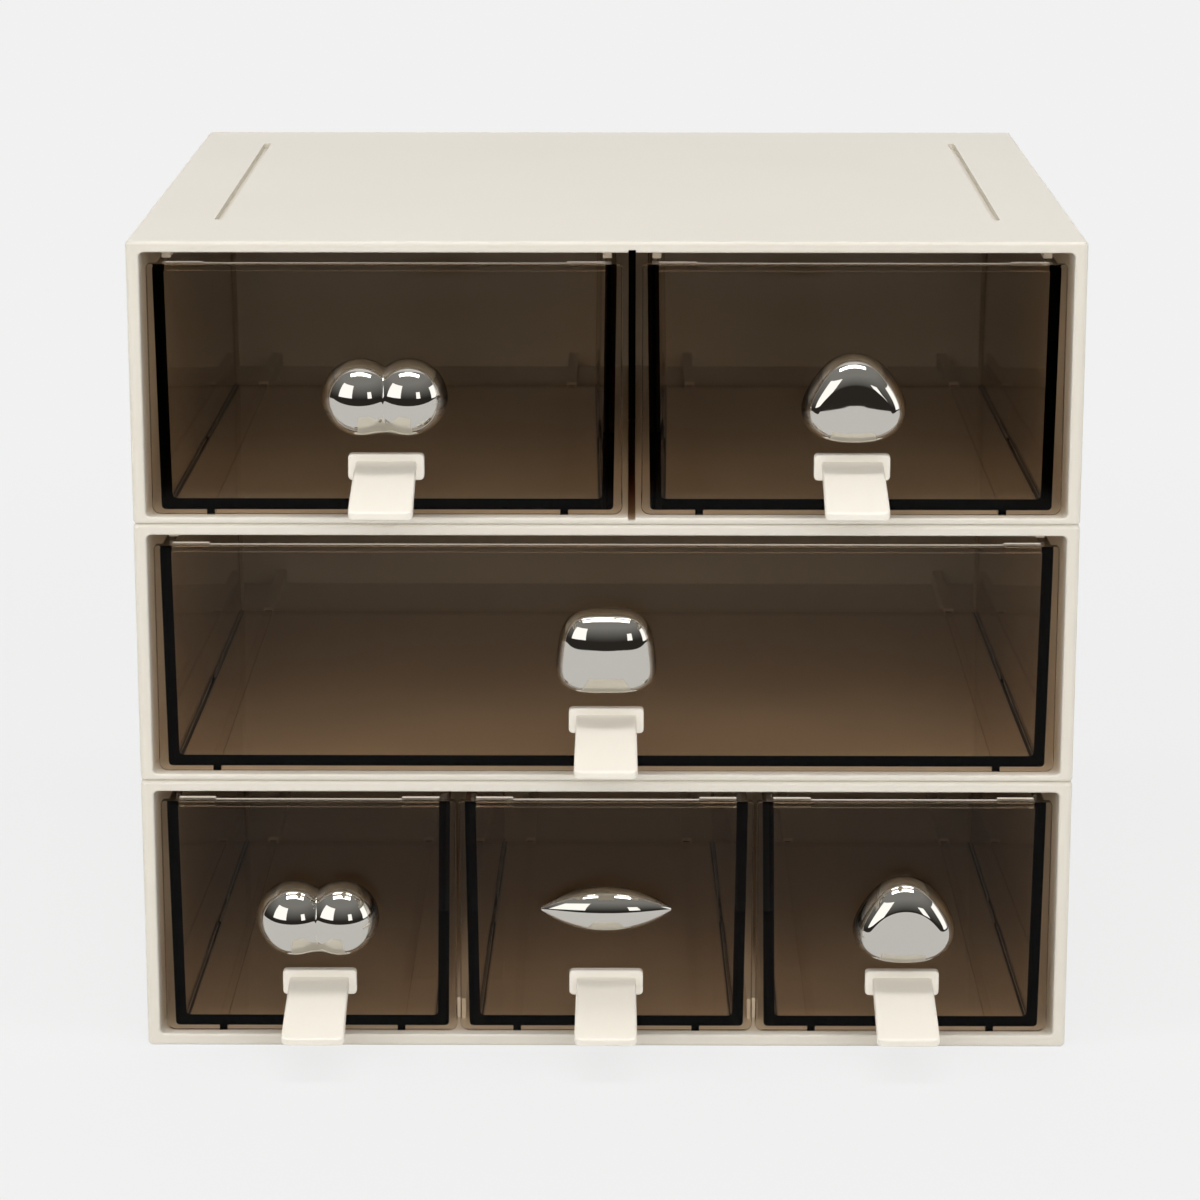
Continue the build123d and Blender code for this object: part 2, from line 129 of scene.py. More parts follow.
def add_node(
    tree: bpy.types.NodeTree,
    kind: str,
    settings: dict[str | int, Any] | None = None,
    links: dict[str | int, bpy.types.NodeSocket] | None = None,
) -> bpy.types.Node:
    """Adds one node with its settings and its incoming links.

    Args:
        tree: node tree that gets the node.
        kind: the node's type name.
        settings: values by socket name or number, or by property name.
        links: output sockets of other nodes by the input's name or number.

    Returns:
        The new node.
    """
    node = tree.nodes.new(kind)
    for name, value in (settings or {}).items():
        if isinstance(name, int) or name in node.inputs:
            node.inputs[name].default_value = value
        else:
            setattr(node, name, value)
    for name, socket in (links or {}).items():
        tree.links.new(socket, node.inputs[name])
    return node


def empty_material(name: str) -> bpy.types.Material:
    """Makes a material whose node tree is empty.

    Args:
        name: the material's name.

    Returns:
        The new material.
    """
    material = bpy.data.materials.new(name)
    material.use_nodes = True
    material.node_tree.nodes.clear()
    return material


@dataclass(frozen=True)
class Finish:
    """A finish: the real material's name and the name of a slot."""

    name: str
    slot: str

    def material(self) -> bpy.types.Material:
        """Gives the finish's material, made the first time it is asked for.

        Returns:
            The material with the finish's nodes.
        """
        made = bpy.data.materials.get(self.name)
        if made is None:
            made = empty_material(self.name)
            self.paint(made.node_tree)
        return made

    def paint(self, tree: bpy.types.NodeTree) -> None:
        """Adds the finish's nodes to an empty tree."""
        raise NotImplementedError


@dataclass(frozen=True)
class MouldedAbs(Finish):
    """Injection-moulded ABS from a spark-eroded tool: an even matt skin with a very fine grain."""

    colour: str = "#E0DACE"
    flow_colour: str = "#DBD4C6"
    ior: float = 1.53
    roughness: float = 0.42
    roughness_spread: float = 0.08
    flow_size: float = 70.0
    flow_detail: float = 2.0
    # the real grain is near 0.1 mm; it is drawn coarser so that it shows
    grain_size: float = 0.7
    grain_detail: float = 3.0
    grain_depth: float = 0.012
    bump_share: float = 0.35

    def paint(self, tree: bpy.types.NodeTree) -> None:
        """Paints wide flow marks in the colour, and a grain in roughness and bump.

        Args:
            tree: the material's empty node tree.
        """
        place = add_node(tree, "ShaderNodeTexCoord").outputs["Object"]
        flow = add_node(tree, "ShaderNodeTexNoise", {
            "Scale": pattern_scale(self.flow_size), "Detail": self.flow_detail}, {"Vector": place})
        grain = add_node(tree, "ShaderNodeTexNoise", {
            "Scale": pattern_scale(self.grain_size), "Detail": self.grain_detail},
            {"Vector": place})
        colour = add_node(tree, "ShaderNodeMix", {
            "data_type": "RGBA", MIX_FIRST: linear(self.colour),
            MIX_SECOND: linear(self.flow_colour)}, {MIX_SHARE: flow.outputs["Fac"]})
        roughness = add_node(tree, "ShaderNodeMapRange", {
            "To Min": self.roughness - self.roughness_spread / 2,
            "To Max": self.roughness + self.roughness_spread / 2}, {"Value": grain.outputs["Fac"]})
        bump = add_node(tree, "ShaderNodeBump", {
            "Strength": self.bump_share, "Distance": self.grain_depth * MM},
            {"Height": grain.outputs["Fac"]})
        shader = add_node(tree, "ShaderNodeBsdfPrincipled", {"IOR": self.ior}, {
            "Base Color": colour.outputs[MIX_RESULT], "Roughness": roughness.outputs["Result"],
            "Normal": bump.outputs["Normal"]})
        add_node(tree, "ShaderNodeOutputMaterial", None, {"Surface": shader.outputs["BSDF"]})


@dataclass(frozen=True)
class SmokedStyrene(Finish):
    """Clear polystyrene tinted smoky brown, polished in the mould: dark in depth, glossy outside.

    Lamplight on its way to what stands behind passes straight on, less what the skins throw back.
    """

    tint: str = "#E2C288"
    density: float = 106.0
    skin_pass: str = "#F9F9F9"
    specular_tint: str = "#616161"
    ior: float = 1.59
    roughness: float = 0.02
    haze: float = 0.03
    haze_size: float = 9.0
    haze_detail: float = 4.0
    haze_range: tuple[float, float] = (0.45, 0.8)
    ripple_size: float = 24.0
    ripple_detail: float = 1.0
    ripple_depth: float = 0.01
    ripple_share: float = 0.2

    def paint(self, tree: bpy.types.NodeTree) -> None:
        """Paints a clear skin with handling haze and mould ripple, and a tint that deepens inside.

        Args:
            tree: the material's empty node tree.
        """
        place = add_node(tree, "ShaderNodeTexCoord").outputs["Object"]
        haze = add_node(tree, "ShaderNodeTexNoise", {
            "Scale": pattern_scale(self.haze_size), "Detail": self.haze_detail}, {"Vector": place})
        ripple = add_node(tree, "ShaderNodeTexNoise", {
            "Scale": pattern_scale(self.ripple_size), "Detail": self.ripple_detail},
            {"Vector": place})
        roughness = add_node(tree, "ShaderNodeMapRange", {
            "From Min": self.haze_range[0], "From Max": self.haze_range[1],
            "To Min": self.roughness, "To Max": self.roughness + self.haze},
            {"Value": haze.outputs["Fac"]})
        bump = add_node(tree, "ShaderNodeBump", {
            "Strength": self.ripple_share, "Distance": self.ripple_depth * MM},
            {"Height": ripple.outputs["Fac"]})
        shader = add_node(tree, "ShaderNodeBsdfPrincipled", {
            "Base Color": WHITE, "IOR": self.ior, "Transmission Weight": 1.0,
            "Specular Tint": linear(self.specular_tint)},
            {"Roughness": roughness.outputs["Result"], "Normal": bump.outputs["Normal"]})
        path = add_node(tree, "ShaderNodeLightPath")
        lighting = add_node(tree, "ShaderNodeMath", {"operation": "MAXIMUM"}, {
            0: path.outputs["Is Shadow Ray"], 1: path.outputs["Is Diffuse Ray"]})
        passing = add_node(tree, "ShaderNodeBsdfTransparent", {"Color": linear(self.skin_pass)})
        surface = add_node(tree, "ShaderNodeMixShader", None, {
            0: lighting.outputs[0], 1: shader.outputs["BSDF"], 2: passing.outputs["BSDF"]})
        depth = add_node(tree, "ShaderNodeVolumeAbsorption", {
            "Color": linear(self.tint), "Density": self.density})
        add_node(tree, "ShaderNodeOutputMaterial", None, {
            "Surface": surface.outputs["Shader"], "Volume": depth.outputs["Volume"]})


@dataclass(frozen=True)
class ChromePlate(Finish):
    """Bright chrome plating on a polished zinc casting: a mirror with a trace of polishing haze."""

    colour: str = "#C6C3BC"
    roughness: float = 0.025
    haze: float = 0.04
    haze_size: float = 5.0
    haze_detail: float = 5.0
    haze_range: tuple[float, float] = (0.4, 0.85)
    # orange peel of the plating, drawn deeper than it is so that it shows in close views
    peel_size: float = 1.6
    peel_detail: float = 1.0
    peel_depth: float = 0.003
    peel_share: float = 0.15

    def paint(self, tree: bpy.types.NodeTree) -> None:
        """Paints a mirror whose roughness drifts with the polishing, with a faint orange peel.

        Args:
            tree: the material's empty node tree.
        """
        place = add_node(tree, "ShaderNodeTexCoord").outputs["Object"]
        haze = add_node(tree, "ShaderNodeTexNoise", {
            "Scale": pattern_scale(self.haze_size), "Detail": self.haze_detail}, {"Vector": place})
        peel = add_node(tree, "ShaderNodeTexNoise", {
            "Scale": pattern_scale(self.peel_size), "Detail": self.peel_detail}, {"Vector": place})
        roughness = add_node(tree, "ShaderNodeMapRange", {
            "From Min": self.haze_range[0], "From Max": self.haze_range[1],
            "To Min": self.roughness, "To Max": self.roughness + self.haze},
            {"Value": haze.outputs["Fac"]})
        bump = add_node(tree, "ShaderNodeBump", {
            "Strength": self.peel_share, "Distance": self.peel_depth * MM},
            {"Height": peel.outputs["Fac"]})
        shader = add_node(tree, "ShaderNodeBsdfPrincipled", {
            "Base Color": linear(self.colour), "Metallic": 1.0},
            {"Roughness": roughness.outputs["Result"], "Normal": bump.outputs["Normal"]})
        add_node(tree, "ShaderNodeOutputMaterial", None, {"Surface": shader.outputs["BSDF"]})


@dataclass(frozen=True)
class ZincSteel(Finish):
    """Zinc-plated screw steel: grey metal with a dull, slightly blotched plating."""

    colour: str = "#B9BABC"
    dull_colour: str = "#9FA0A3"
    roughness_range: tuple[float, float] = (0.25, 0.45)
    blotch_size: float = 1.2
    blotch_detail: float = 4.0

    def paint(self, tree: bpy.types.NodeTree) -> None:
        """Paints blotches of brighter and duller plating.

        Args:
            tree: the material's empty node tree.
        """
        place = add_node(tree, "ShaderNodeTexCoord").outputs["Object"]
        blotch = add_node(tree, "ShaderNodeTexNoise", {
            "Scale": pattern_scale(self.blotch_size), "Detail": self.blotch_detail},
            {"Vector": place})
        colour = add_node(tree, "ShaderNodeMix", {
            "data_type": "RGBA", MIX_FIRST: linear(self.colour),
            MIX_SECOND: linear(self.dull_colour)}, {MIX_SHARE: blotch.outputs["Fac"]})
        roughness = add_node(tree, "ShaderNodeMapRange", {
            "To Min": self.roughness_range[0], "To Max": self.roughness_range[1]},
            {"Value": blotch.outputs["Fac"]})
        shader = add_node(tree, "ShaderNodeBsdfPrincipled", {"Metallic": 1.0}, {
            "Base Color": colour.outputs[MIX_RESULT], "Roughness": roughness.outputs["Result"]})
        add_node(tree, "ShaderNodeOutputMaterial", None, {"Surface": shader.outputs["BSDF"]})


CASE_ABS = MouldedAbs("moulded_ivory_abs", "cream_abs")
TAB_ABS = MouldedAbs("polished_ivory_abs", "cream_tab", colour="#F5EFE3", flow_colour="#F1EADC",
                     roughness=0.34, grain_depth=0.006)
SMOKED = SmokedStyrene("smoked_polystyrene", "smoked_styrene")
CHROME = ChromePlate("bright_chrome_plate", "chrome_plate")
ZINC = ZincSteel("zinc_plated_steel", "screw_steel")


@dataclass
class Skin:
    """A closed surface: points in millimetres, quads and triangles by point number."""

    points: np.ndarray
    quads: np.ndarray
    triangles: np.ndarray

    @classmethod
    def over(cls, rings: np.ndarray) -> "Skin":
        """Closes a stack of rings: quads between neighbours, a fan to the middle of each end ring.

        The faces turn outwards. The volume, a sixth of the sum of a . (b x c) over all triangles
        abc, is positive for outward faces, so a negative one turns every face round.

        Args:
            rings: points of shape (rings, points in a ring, 3).

        Returns:
            The closed skin.
        """
        rows, columns = rings.shape[:2]
        here = np.arange(rows * columns).reshape(rows, columns)
        beside = np.roll(here, -1, axis=1)
        quads = np.stack([here[:-1], beside[:-1], beside[1:], here[1:]], axis=-1).reshape(-1, 4)
        first = np.stack([beside[0], here[0], np.full(columns, rows * columns)], axis=-1)
        last = np.stack([here[-1], beside[-1], np.full(columns, rows * columns + 1)], axis=-1)
        triangles = np.concatenate([first, last])
        ends = np.stack([rings[0].mean(axis=0), rings[-1].mean(axis=0)])
        points = np.concatenate([rings.reshape(-1, 3), ends])
        every = np.concatenate([quads[:, :3], quads[:, [0, 2, 3]], triangles])
        a, b, c = np.moveaxis(points[every], 1, 0)
        if np.sum(a * np.cross(b, c)) < 0:
            quads, triangles = quads[:, ::-1], triangles[:, ::-1]
        return cls(points, quads, triangles)

    def moved(self, place: np.ndarray) -> "Skin":
        """Gives a copy of the skin shifted by `place`."""
        return Skin(self.points + place, self.quads, self.triangles)


def write_piece(name: str, skins: list[Skin], finish: Finish) -> bpy.types.Object:
    """Writes closed skins into one smooth mesh object at the origin.

    Args:
        name: the piece's name.
        skins: closed skins in millimetres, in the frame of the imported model.
        finish: finish of the whole piece.

    Returns:
        The new object, linked to the scene.
    """
    starts = np.cumsum([0] + [len(skin.points) for skin in skins])
    points = np.concatenate([skin.points for skin in skins]) * MM
    faces = []
    for skin, start in zip(skins, starts):
        faces += (skin.quads + start).tolist() + (skin.triangles + start).tolist()
    mesh = bpy.data.meshes.new(name)
    mesh.from_pydata(points.tolist(), [], faces)
    mesh.polygons.foreach_set("use_smooth", np.ones(len(faces), dtype=bool))
    mesh.set_sharp_from_angle(angle=math.radians(SHARP_ANGLE))
    mesh.materials.append(finish.material())
    mesh.update()
    piece = bpy.data.objects.new(name, mesh)
    bpy.context.scene.collection.objects.link(piece)
    return piece


def dress_node(node: bpy.types.Object, finish: Finish) -> None:
    """Gives a carried-over CAD node its finish."""
    node.data.materials.clear()
    node.data.materials.append(finish.material())


def node_box(node: str) -> tuple[np.ndarray, np.ndarray]:
    """Gives the lowest and highest corner of a CAD node in millimetres."""
    low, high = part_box(node)
    return np.array(low) * METRE, np.array(high) * METRE


def rounded_rectangle(width: float, height: float, radius: float) -> np.ndarray:
    """Works out the outline of a rectangle with round corners.

    A quarter circle about each corner's middle, with one more point on each straight side just
    outside the curve, which keeps the smooth shading of the flat sides flat.

    Args:
        width: full width.
        height: full height.
        radius: corner radius.

    Returns:
        Points of shape (points, 2), anticlockwise from the right side.
    """
    turn = np.linspace(0, QUARTER_TURN, CORNER_POINTS)
    arc = np.stack([np.cos(turn), np.sin(turn)], axis=-1) * radius
    hold = min(width, height) / HOLD_PARTS
    corner = np.concatenate([[[radius, -hold]], arc, [[-hold, radius]]])
    middle = np.array([width / 2 - radius, height / 2 - radius])
    outline = []
    for across, up, swapped in ((1, 1, False), (-1, 1, True), (-1, -1, False), (1, -1, True)):
        points = corner[::-1] if swapped else corner
        outline.append((points + middle) * (across, up))
    return np.concatenate(outline)


class Knob:
    """A chrome knob on a drawer front, shaped by `rings` about the middle of its foot."""

    # the foot stands this far off the panel, so that the two faces don't lie in one plane
    foot_gap: ClassVar[float] = 0.04
    columns: ClassVar[int] = 128

    def rings(self) -> np.ndarray:
        """Gives the rings of points that the skin is drawn over."""
        raise NotImplementedError

    def build(self, drawer: str) -> bpy.types.Object:
        """Builds the knob where its CAD node is.

        Args:
            drawer: name of the drawer that carries it.

        Returns:
            The knob's object.
        """
        node = "knob_" + drawer
        low, high = node_box(node)
        foot = np.array([(low[0] + high[0]) / 2, high[1], (low[2] + high[2]) / 2])
        piece = write_piece("chrome_" + node, [Skin.over(self.rings()).moved(foot)], CHROME)
        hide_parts(node)
        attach(piece, drawer + "_drawer")
        return piece


class TurnedKnob(Knob):
    """A knob turned about a line along X that lies before the panel, cut off flat at the panel."""

    stand: ClassVar[float] = 3.8

    def profile(self, turn: np.ndarray) -> tuple[np.ndarray, np.ndarray]:
        """Gives the places along X, and the radius at each for every turn from ahead upwards."""
        raise NotImplementedError

    def rings(self) -> np.ndarray:
        """Carries a circle along X: (x, -stand - r cos t, r sin t), with y held before the panel.

        Returns:
            Points of shape (places, columns, 3), about the foot.
        """
        turn = np.linspace(0, FULL_TURN, self.columns, endpoint=False)
        along, radius = self.profile(turn)
        y = np.minimum(-self.stand - radius * np.cos(turn), -self.foot_gap)
        z = radius * np.sin(turn)
        x = np.broadcast_to(along[:, None], y.shape)
        return np.stack([x, y, z], axis=-1)


@dataclass
class BubbleKnob(TurnedKnob):
    """Two balls run together at a waist with a fine fillet, which widens underneath."""

    radius: float = 10.6
    spacing: float = 13.2
    waist_fillet: float = 0.22
    foot_fillet: float = 2.8
    foot_power: int = 6
    rows: int = 72

    def profile(self, turn: np.ndarray) -> tuple[np.ndarray, np.ndarray]:
        """Works out two circles, joined smoothly at x = 0 over a width w.

        The radius is r = sqrt(R^2 - (sqrt(x^2 + w^2) - s/2)^2), and the width grows underneath as
        w = w0 + w1 max(0, -sin t)^p.

        Args:
            turn: turns about X, from straight ahead upwards.

        Returns:
            The places along X, and the radii of shape (places, turns).
        """
        waist = math.acos(-self.spacing / 2 / self.radius)
        share = np.linspace(0, 1, self.rows)
        angle = waist * (1 - (1 - share) ** 2)
        right = self.spacing / 2 + self.radius * np.cos(angle)
        along = np.concatenate([right, -right[-2::-1]])
        below = np.clip(-np.sin(turn), 0, None) ** self.foot_power
        width = self.waist_fillet + self.foot_fillet * below
        reach = np.sqrt(along[:, None] ** 2 + width ** 2) - self.spacing / 2
        return along, np.sqrt(np.clip(self.radius ** 2 - reach ** 2, 0, None))


@dataclass
class LensKnob(TurnedKnob):
    """A spindle pointed at both ends."""

    width: float = 36.4
    height: float = 12.8
    tip_radius: float = 0.5
    rows: int = 96

    def profile(self, turn: np.ndarray) -> tuple[np.ndarray, np.ndarray]:
        """Works out an arc whose ends come down to the tip radius.

        The radius is r = sqrt(R^2 - x^2) - (R - h/2), with R the radius of the arc.

        Args:
            turn: turns about X, at all of which the radius is the same.

        Returns:
            The places along X, and the radii of shape (places, turns).
        """
        half, rise = self.width / 2, self.height / 2 - self.tip_radius
        arc_radius = (half ** 2 + rise ** 2) / (2 * rise)
        along = half * np.sin(np.linspace(-QUARTER_TURN, QUARTER_TURN, self.rows))
        radius = np.sqrt(arc_radius ** 2 - along ** 2) - arc_radius + self.height / 2
        return along, radius[:, None] + 0 * turn


@dataclass
class PebbleKnob(Knob):
    """A pebble: an outline that swells off the panel and rolls over to a gently crowned front."""

    shape: KnobShape
    width: float
    height: float
    front_shares: tuple[float, float]
    front_drop: float
    front_tilt: float
    crown: float
    roll_power: float
    roll_end: float
    depth: float = 12.8
    foot_share: float = 0.85
    widest_share: float = 0.3
    triangle_wave: float = 0.07
    corner_power: float = 0.6
    spread: float = 0.1
    side_rows: int = 30
    front_rows: int = 24
    # the front's last ring, as a share of its first, which a fan closes
    front_end: float = 0.02

    def outline(self) -> np.ndarray:
        """Works out the widest outline.

        A rounded triangle is the circle r = 1 - a sin 3t. A rounded trapezoid is the superellipse
        (|cos t|^p, |sin t|^p) with its sides spread by 1 - b z towards the foot. Both are stretched
        to the full width and height.

        Returns:
            Points of shape (columns, 2), about the middle of the outline.
        """
        turn = np.linspace(0, FULL_TURN, self.columns, endpoint=False)
        across, up = np.cos(turn), np.sin(turn)
        if self.shape is KnobShape.TRIANGLE:
            reach = 1 - self.triangle_wave * np.sin(3 * turn)
            points = np.stack([reach * across, reach * up], axis=-1)
        else:
            up = np.sign(up) * np.abs(up) ** self.corner_power
            across = np.sign(across) * np.abs(across) ** self.corner_power
            points = np.stack([across * (1 - self.spread * up), up], axis=-1)
        low, high = points.min(axis=0), points.max(axis=0)
        return (points - (low + high) / 2) / (high - low) * (self.width, self.height)

    def sections(self) -> np.ndarray:
        """Works out the rings' sizes and places.

        From the foot share f the side swells as a quarter ellipse to the full outline. The shoulder
        rolls over as the superellipse share = g + (1 - g) c, depth = d0 + (d1 - d0) s, with c and s
        the powers 2/n of the cosine and sine, run to the roll's end and scaled to finish at the
        front shares g, where a crease is left if the end is short of a quarter turn. The front
        rises by the crown as k (1 - q^2).

        Returns:
            Rows of depth, share across, share up, and how far the ring is to the front, 0 to 1.
        """
        turn = np.linspace(0, 1, self.side_rows)
        shoulder, widest = self.depth - self.crown, self.depth * self.widest_share
        swell = self.foot_share + (1 - self.foot_share) * np.sin(turn * QUARTER_TURN)
        off = widest * (1 - np.cos(turn * QUARTER_TURN))
        side = np.stack([off, swell, swell, 0 * turn], axis=-1)
        angle = turn * QUARTER_TURN * self.roll_end
        inwards = np.clip(np.cos(angle), 0, None) ** (2 / self.roll_power)
        forwards = np.sin(angle) ** (2 / self.roll_power)
        inwards = (inwards - inwards[-1]) / (1 - inwards[-1])
        off = widest + (shoulder - widest) * (forwards / forwards[-1])
        across, up = (share + (1 - share) * inwards for share in self.front_shares)
        roll = np.stack([off, across, up, 1 - inwards], axis=-1)
        inset = np.linspace(1, self.front_end, self.front_rows)
        off = shoulder + self.crown * (1 - inset ** 2)
        across, up = (share * inset for share in self.front_shares)
        front = np.stack([off, across, up, 0 * inset + 1], axis=-1)
        return np.concatenate([side, roll[1:], front[1:]])

    def rings(self) -> np.ndarray:
        """Carries the outline to the front, sized, dropped and tilted as each section says.

        Returns:
            Points of shape (sections, columns, 3), about the foot.
        """
        depth, across, up, over = self.sections().T[:, :, None]
        x, z = self.outline().T
        height = up * z - self.front_drop * over
        off = depth + self.front_tilt * over * height
        return np.stack([across * x, -np.maximum(off, self.foot_gap), height], axis=-1)


KNOBS: dict[KnobShape, Knob] = {
    KnobShape.BUBBLE: BubbleKnob(),
    KnobShape.LENS: LensKnob(),
    KnobShape.TRIANGLE: PebbleKnob(
        KnobShape.TRIANGLE, 28.6, 24.6, front_shares=(0.71, 0.54), front_drop=1.6, front_tilt=0.05,
        crown=0.35, roll_power=2.0, roll_end=0.84),
    KnobShape.TRAPEZOID: PebbleKnob(
        KnobShape.TRAPEZOID, 27.8, 23.6, front_shares=(0.04, 0.04), front_drop=0.0, front_tilt=0.0,
        crown=0.005, roll_power=2.5, roll_end=1.0),
}


@dataclass
class PullTab:
    """A pull tab: a flange on the panel, a drooping tongue, and two pegs staked over behind it."""

    flange_width: float = 20.8
    flange_height: float = 7.3
    flange_thickness: float = 2.3
    flange_radius: float = 1.2
    flange_round: float = 0.5
    tongue_root_width: float = 16.7
    tongue_tip_width: float = 17.4
    tongue_thickness: float = 2.6
    tongue_reach: float = 31.0
    tongue_corner: float = 1.8
    # the most of the corner's radius by which the tip is drawn in
    tongue_corner_share: float = 0.8
    tongue_round: float = 0.6
    least_round: float = 0.04
    root_drop: float = 2.0
    start_angle: float = 9.0
    end_angle: float = 21.0
    root_overlap: float = 1.2
    peg_radius: float = 1.5
    peg_spacing: float = 12.0
    peg_head_radius: float = 2.3
    peg_head_height: float = 1.0
    panel_thickness: float = 2.6
    panel_gap: float = 0.04
    columns: int = 40
    round_rows: int = 7
    straight_rows: int = 28
    corner_rows: int = 12
    head_rows: int = 8

    def flange(self) -> Skin:
        """Carries a rounded rectangle off the panel, drawn in along a quarter circle at its front.

        Returns:
            The closed flange.
        """
        turn = np.linspace(0, QUARTER_TURN, self.round_rows)
        inset = np.concatenate([[0, 0], self.flange_round * (1 - np.cos(turn))])
        full = self.flange_thickness - self.flange_round
        straight = [self.panel_gap, full - self.flange_round]
        depth = np.concatenate([straight, full + self.flange_round * np.sin(turn)])
        rings = []
        for step_in, off in zip(inset, depth):
            outline = rounded_rectangle(
                self.flange_width - 2 * step_in, self.flange_height - 2 * step_in,
                self.flange_radius - step_in)
            x, z = outline.T
            rings.append(np.stack([x, np.full(len(x), -off), z - self.flange_height / 2], axis=-1))
        return Skin.over(np.stack(rings))

    def tongue(self) -> Skin:
        """Carries a rounded rectangle along an arc that droops from the start to the end angle.

        The arc's radius is R = reach / (sin end - sin start), its normal at the angle a is
        (0, -sin a, cos a), and the width is drawn in along a circle of the corner radius near the
        tip.

        Returns:
            The closed tongue.
        """
        start, end = math.radians(self.start_angle), math.radians(self.end_angle)
        reach = self.tongue_reach - self.flange_thickness
        radius = reach / (math.sin(end) - math.sin(start))
        middle_radius = radius - self.tongue_thickness / 2
        length = middle_radius * (end - start)
        bend, tip = length - self.tongue_corner, length - self.tongue_round
        turn = np.linspace(0, QUARTER_TURN, self.round_rows)
        straight = np.linspace(-self.root_overlap, bend, self.straight_rows)
        corner = np.linspace(bend, tip, self.corner_rows)[1:-1]
        rounding = length - self.tongue_round * (1 - np.sin(turn))
        along = np.concatenate([straight, corner, rounding])
        flat = np.zeros(len(along) - len(turn))
        inset = np.concatenate([flat, self.tongue_round * (1 - np.cos(turn))])
        past = np.clip(along - length + self.tongue_corner, 0, self.tongue_corner)
        left = np.sqrt(np.clip(self.tongue_corner ** 2 - past ** 2, 0, None))
        most = self.tongue_corner * self.tongue_corner_share
        drawn_in = np.minimum(self.tongue_corner - left, most)
        width = np.interp(along, [0, length], [self.tongue_root_width, self.tongue_tip_width])
        angle = start + along / middle_radius
        y = radius * math.sin(start) - self.flange_thickness - middle_radius * np.sin(angle)
        z = -self.root_drop - radius * math.cos(start) + middle_radius * np.cos(angle)
        rings = []
        for index in range(len(along)):
            across, lift = rounded_rectangle(
                width[index] - 2 * (inset[index] + drawn_in[index]),
                self.tongue_thickness - 2 * inset[index],
                max(self.tongue_round - inset[index], self.least_round)).T
            rings.append(np.stack([across, y[index] - lift * math.sin(angle[index]),
                                   z[index] + lift * math.cos(angle[index])], axis=-1))
        return Skin.over(np.stack(rings))

    def peg(self, side: int) -> Skin:
        """Turns a peg's profile, a shank with a domed head behind the panel, about a line along Y.

        Args:
            side: -1 for the left peg, 1 for the right one.

        Returns:
            The closed peg.
        """
        turn = np.linspace(0, QUARTER_TURN, self.head_rows)[:-1]
        behind = self.panel_thickness + self.panel_gap
        head = self.peg_head_height - self.panel_gap
        radius = np.concatenate([[self.peg_radius] * 2, self.peg_head_radius * np.cos(turn)])
        shank = [-self.flange_thickness / 2, behind]
        depth = np.concatenate([shank, behind + head * np.sin(turn)])
        around = np.linspace(0, FULL_TURN, self.columns, endpoint=False)
        x = radius[:, None] * np.cos(around) + side * self.peg_spacing / 2
        z = radius[:, None] * np.sin(around) - self.flange_height / 2
        return Skin.over(np.stack([x, np.broadcast_to(depth[:, None], x.shape), z], axis=-1))

    def build(self, drawer: str) -> bpy.types.Object:
        """Builds the tab where its CAD node is.

        Args:
            drawer: name of the drawer that carries it.

        Returns:
            The tab's object.
        """
        node = "pull_tab_" + drawer
        low, high = node_box(node)
        panel_front = high[1] - self.panel_thickness - self.peg_head_height
        place = np.array([(low[0] + high[0]) / 2, panel_front, high[2]])
        skins = [self.flange(), self.tongue(), self.peg(-1), self.peg(1)]
        piece = write_piece("ivory_" + node, [skin.moved(place) for skin in skins], TAB_ABS)
        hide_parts(node)
        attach(piece, drawer + "_drawer")
        return piece


@dataclass
class Organizer:
    """The organizer: finishes on the CAD nodes, and the knobs and tabs that stand for theirs."""

    nodes: dict[str, bpy.types.Object]
    tiers: tuple[str, ...] = ("bottom", "middle", "top")

    def dress_mouldings(self) -> None:
        """Gives the cases, the drawers, the divider and the screws their finishes."""
        for tier in self.tiers:
            dress_node(self.nodes["case_" + tier], CASE_ABS)
        dress_node(self.nodes["top_divider"], SMOKED)
        for drawer in DRAWER_KNOBS:
            dress_node(self.nodes["drawer_" + drawer], SMOKED)
            dress_node(self.nodes["knob_screw_" + drawer], ZINC)
        LOG.info("dressed %d cases and %d drawers", len(self.tiers), len(DRAWER_KNOBS))

    def build_fronts(self) -> None:
        """Builds the knob and the pull tab of every drawer."""
        tab = PullTab()
        for drawer, shape in DRAWER_KNOBS.items():
            knob = KNOBS[shape].build(drawer)
            pull = tab.build(drawer)
            LOG.info("built %s and %s", knob.name, pull.name)


@dataclass(frozen=True)
class Softbox:
    """A lamp; MATT keeps it out of mirrors and out of what the smoked plastic bends."""

    name: str
    place_m: tuple[float, float, float]
    size_m: tuple[float, float]
    watts: float
    seen_by: SeenBy = SeenBy.MATT


@dataclass(frozen=True)
class Window:
    """A bright window in the dim room, by its first and last bearing and rise in degrees."""

    name: str
    bearings: tuple[float, float]
    rises: tuple[float, float]


SOFTBOXES = (
    Softbox("left_softbox", (-1.30, -0.75, 0.67), (0.5, 1.1), 5.5),
    Softbox("right_softbox", (1.22, -0.85, 0.72), (0.36, 1.0), 4.0),
    Softbox("top_strip", (0.0, -0.3, 1.75), (1.4, 0.3), 11.3, SeenBy.ALL),
    Softbox("front_softbox", (0.0, -1.65, 1.05), (2.2, 1.3), 14.3),
    Softbox("back_softbox", (0.0, 1.7, 1.2), (1.6, 1.2), 4.5),
)
WINDOWS = (
    Window("wide_left_window", (-64.0, -22.0), (9.0, 44.0)),
    Window("small_right_window", (24.0, 36.0), (8.0, 26.0)),
    Window("side_right_window", (72.0, 98.0), (3.0, 30.0)),
)


